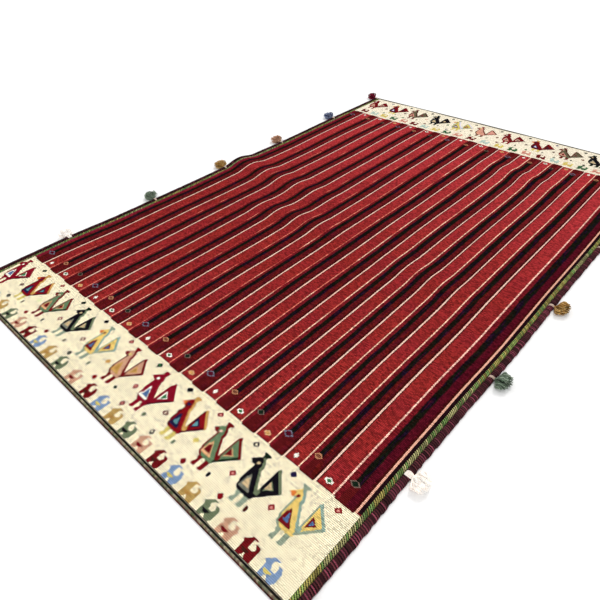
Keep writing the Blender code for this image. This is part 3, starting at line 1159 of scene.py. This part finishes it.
TASSEL_COLOURS = {
    "red": shades((136, 24, 52), (98, 16, 40), (164, 42, 70)),
    "white": shades((255, 252, 246), (255, 244, 234), (255, 254, 252)),
    "sage": shades((140, 158, 138), (94, 114, 92), (166, 182, 160)),
    "gold": shades((206, 162, 92), (172, 124, 62), (224, 186, 120)),
    "tan": shades((222, 168, 136), (194, 136, 106), (234, 188, 156)),
    "blue": shades((124, 136, 172), (90, 102, 142), (154, 164, 192)),
}

# How light a tuft is inside, where its shade is painted, how light its darkest strands are, its
# painted glow, and its root's yarns.
Tuft = namedtuple("Tuft", "inside darkest glow roots root_spacing")
WHITE_TUFT = Tuft(1.0, 0.88, 0.08, shades((255, 250, 242), (246, 236, 226)), 0.0017)
DYED_TUFT = Tuft(
    0.22, 0.55, 0.0, shades((206, 180, 164), (176, 152, 138), (220, 200, 184)), 0.0009
)
TWIST = 900.0
STRANDS = 136
STRAND_STEPS = 9
STRAND_SIDES = 5
STRAND_RADIUS = 0.00105
STRAND_LIGHTEST = 1.25
SHORTEST_STRAND = 0.84
SIDE_STRAND_REACH = 0.52
FAN_SPEED = 1.9
CURL = 0.0022
CURL_UP = 0.0018
TUFT_HALF_WIDTH = 0.0285
TUFT_HALF_HEIGHT = 0.0145
TUFT_AXIS = 0.0142
TUFT_WIDENS = 0.02
NECK_REACH = 0.006
NECK_AXIS = 0.006
NECK_HALF_WIDTH = 0.0030
NECK_HALF_HEIGHT = 0.0022
NECK_START = NECK_REACH - 0.003
DROOP = 0.25
BINDING_TURNS = 4
BINDING_RADIUS = 0.0009
ROOT_STRANDS = 9
ROOT_RADIUS = 0.00095


def tuft_of(yarn):
    return WHITE_TUFT if yarn == "white" else DYED_TUFT


def tube(line, radius):
    """Points and faces of a tube along a line of points, closed by its end faces."""
    forward = np.gradient(line, axis=0)
    forward /= np.linalg.norm(forward, axis=1)[:, None]
    aside = np.cross(forward, (0.0, 0.0, 1.0))
    weak = np.linalg.norm(aside, axis=1) < 1e-3
    aside[weak] = (1.0, 0.0, 0.0)
    aside /= np.linalg.norm(aside, axis=1)[:, None]
    upward = np.cross(aside, forward)
    angle = (np.arange(STRAND_SIDES) * 2 * math.pi / STRAND_SIDES)[:, None]
    ring = np.cos(angle) * aside[:, None] + np.sin(angle) * upward[:, None]
    radius = np.broadcast_to(radius, len(line))[:, None, None]
    points = (line[:, None] + ring * radius).reshape(-1, 3)
    return points, loft_faces(len(line), STRAND_SIDES, (0, 1, 2, 3))


class Yarns:
    """Tubes of yarn gathered into one mesh."""

    def __init__(self):
        self.points, self.faces, self.colours, self.count = [], [], [], 0

    def add(self, line, radius, colour, shade=1.0):
        """Adds a tube. Its shade, which may change along the line, is kept as its colour's alpha."""
        points, faces = tube(line, radius)
        colours = np.tile(colour, (len(faces), 1))
        colours[:-2, 3] = np.repeat(np.broadcast_to(shade, len(line) - 1), STRAND_SIDES)
        colours[-2:, 3] = colours[-3, 3]
        self.points.append(points)
        self.faces += [[self.count + corner for corner in face] for face in faces]
        self.colours.append(colours)
        self.count += len(points)

    def object(self, name):
        return new_mesh(name, np.concatenate(self.points), self.faces, np.concatenate(self.colours))


# A tassel's lines have columns out from its root, across it and up from the floor.

def curl(t, size, wave, random):
    """How far a strand curls aside, more so towards its cut end."""
    return size * t * wave(t * random.uniform(5, 11) + random.uniform(0, 6))


def strand_line(random, reach):
    """One strand of a tuft, out of the neck and round into the tuft, with a loose curl."""
    t = np.linspace(0, 1, STRAND_STEPS)
    angle = random.uniform(0, 2 * math.pi)
    spread = math.sqrt(random.uniform(0.02, 1.0))
    across = TUFT_HALF_WIDTH * spread * math.cos(angle)
    up = TUFT_HALF_HEIGHT * spread * math.sin(angle)
    rounded = SIDE_STRAND_REACH + (1 - SIDE_STRAND_REACH) * math.sqrt(1 - spread ** 2)
    end = reach * random.uniform(SHORTEST_STRAND, 1.0) * rounded
    fan = smooth(t * FAN_SPEED)
    out = NECK_START + (end - NECK_START) * t
    across = across * fan + NECK_HALF_WIDTH * math.cos(angle) * (1 - t)
    across += curl(t, CURL, np.sin, random)
    up = up * fan + NECK_HALF_HEIGHT * math.sin(angle) * (1 - t)
    up += curl(t, CURL_UP, np.cos, random)
    up += NECK_AXIS + (TUFT_AXIS - NECK_AXIS) * smooth(out / TUFT_WIDENS)
    return np.stack([out, across, up], axis=1), spread


def binding_line():
    """The yarn wound round the neck."""
    t = np.linspace(0, 1, 40)
    turn = t * 2 * math.pi * BINDING_TURNS
    out = NECK_REACH - 0.004 + 0.0055 * t
    return np.stack([out, 0.0042 * np.cos(turn), 0.0068 + 0.0038 * np.sin(turn)], axis=1)


def root_line(aside):
    """One of the pale yarns that carry the tassel, over the selvedge and down into it."""
    t = np.linspace(0, 1, 10)
    top = SELVEDGE_HEIGHT + 0.0010 + 0.0006 * math.cos(aside * 300)
    out = -SELVEDGE_WIDTH * 0.96 + (SELVEDGE_WIDTH + NECK_START) * t
    up = np.interp(t, (0.0, 0.15, 0.5, 0.75, 1.0), (0.0045, top * 0.86, top, 0.0085, 0.0068))
    return np.stack([out, aside * (0.8 + 0.25 * np.sin(math.pi * t)), up], axis=1)


def make_tassel(name, side, y, yarn, wool, random):
    """A tuft of cut yarn, bound at the neck, whose root passes over the selvedge."""
    edge, centre, lift = lay(np.array([(side * HALF_WIDTH, y, 0.0)]))[0]
    root = edge + side * FIT_GAP
    reach = TASSEL_TIP - abs(root)
    droop = random.uniform(-DROOP, DROOP)

    def placed(line):
        out, across, up = line.T
        along = centre + across + droop * np.clip(out, 0, None) ** 1.3
        height = np.maximum(up, STRAND_RADIUS + FIT_GAP) + lift
        return np.stack([root + side * out, along, height], axis=1)

    yarns, colours, tuft = Yarns(), TASSEL_COLOURS[yarn], tuft_of(yarn)
    for _ in range(STRANDS):
        line, spread = strand_line(random, reach)
        radius = STRAND_RADIUS * random.uniform(0.85, 1.15) * np.linspace(1.0, 0.75, STRAND_STEPS)
        colour = colours[random.integers(0, len(colours))]
        # Painted shade: strands near the tuft's middle, and each strand towards its root, are darker.
        outwards = spread * np.linspace(0.55, 1.0, STRAND_STEPS - 1)
        shade = tuft.inside + (1.12 - tuft.inside) * outwards
        shade = shade * random.uniform(tuft.darkest, STRAND_LIGHTEST)
        yarns.add(placed(line), radius, colour, shade)
    yarns.add(placed(binding_line()), BINDING_RADIUS, colours[1], 0.9)
    for number in range(ROOT_STRANDS):
        aside = (number - (ROOT_STRANDS - 1) / 2) * tuft.root_spacing
        colour = tuft.roots[random.integers(0, len(tuft.roots))]
        yarns.add(placed(root_line(aside)), ROOT_RADIUS, colour)
    finish_piece(yarns.object(name), wool, [name.replace("yarn_", "")])


def make_tassels():
    wools = {
        yarn: yarn_material(f"{yarn}_yarn", TWIST, tuft_of(yarn).glow) for yarn in TASSEL_COLOURS
    }
    for side, side_name in ((-1, "left"), (1, "right")):
        for number, row in enumerate(TASSEL_ROWS):
            random = np.random.default_rng(100 + 10 * number + side)
            name = f"yarn_tassel_{side_name}_{number + 1}"
            make_tassel(name, side, getattr(row, side_name), row.yarn, wools[row.yarn], random)


# ---- camera, light and floor

WHITE = (1.0, 1.0, 1.0, 1.0)
FLOOR_HALF_SIZE = 30.0
FLOOR_HEIGHT = -0.0004
WORLD_STRENGTH = 0.90
LAMP_STRENGTH = 0.90
LAMP_ANGLE = 14
LAMP_TURN = (-38, -12, 0)
LAMP_COLOUR = (1.0, 0.985, 0.96)


def make_camera():
    data = bpy.data.cameras.new("camera")
    data.sensor_width = SENSOR
    data.lens = CAMERA_LENS
    data.clip_end = 50.0
    camera = add_object("camera", data)
    turn = Matrix.Rotation(math.radians(CAMERA_HEADING), 4, "Z")
    tip = Matrix.Rotation(math.radians(90 - CAMERA_DIP), 4, "X")
    roll = Matrix.Rotation(math.radians(CAMERA_ROLL), 4, "Z")
    camera.matrix_world = Matrix.Translation(CAMERA_AT) @ turn @ tip @ roll
    bpy.context.scene.camera = camera


def make_floor():
    corners = [
        (x * FLOOR_HALF_SIZE, y * FLOOR_HALF_SIZE, FLOOR_HEIGHT)
        for x, y in ((-1, -1), (1, -1), (1, 1), (-1, 1))
    ]
    mesh = bpy.data.meshes.new("floor")
    mesh.from_pydata(corners, [], [(0, 1, 2, 3)])
    floor = add_object("floor", mesh)
    graph = Graph("floor_white", specular=0.0)
    graph.shade({"Base Color": WHITE, "Roughness": 1.0})
    mesh.materials.append(graph.material)


def make_light():
    """Even white light from all round, and one broad lamp from behind the far left."""
    world = bpy.data.worlds.new("studio")
    world.use_nodes = True
    background = world.node_tree.nodes["Background"]
    background.inputs["Color"].default_value = WHITE
    background.inputs["Strength"].default_value = WORLD_STRENGTH
    bpy.context.scene.world = world
    data = bpy.data.lights.new("key", "SUN")
    data.energy = LAMP_STRENGTH
    data.angle = math.radians(LAMP_ANGLE)
    data.color = LAMP_COLOUR
    add_object("key", data).rotation_euler = [math.radians(turn) for turn in LAMP_TURN]
    bpy.context.scene.view_settings.view_transform = "Standard"


make_camera()
make_floor()
make_light()
make_cloth()
make_side_strips()
make_end_braids()
make_tassels()
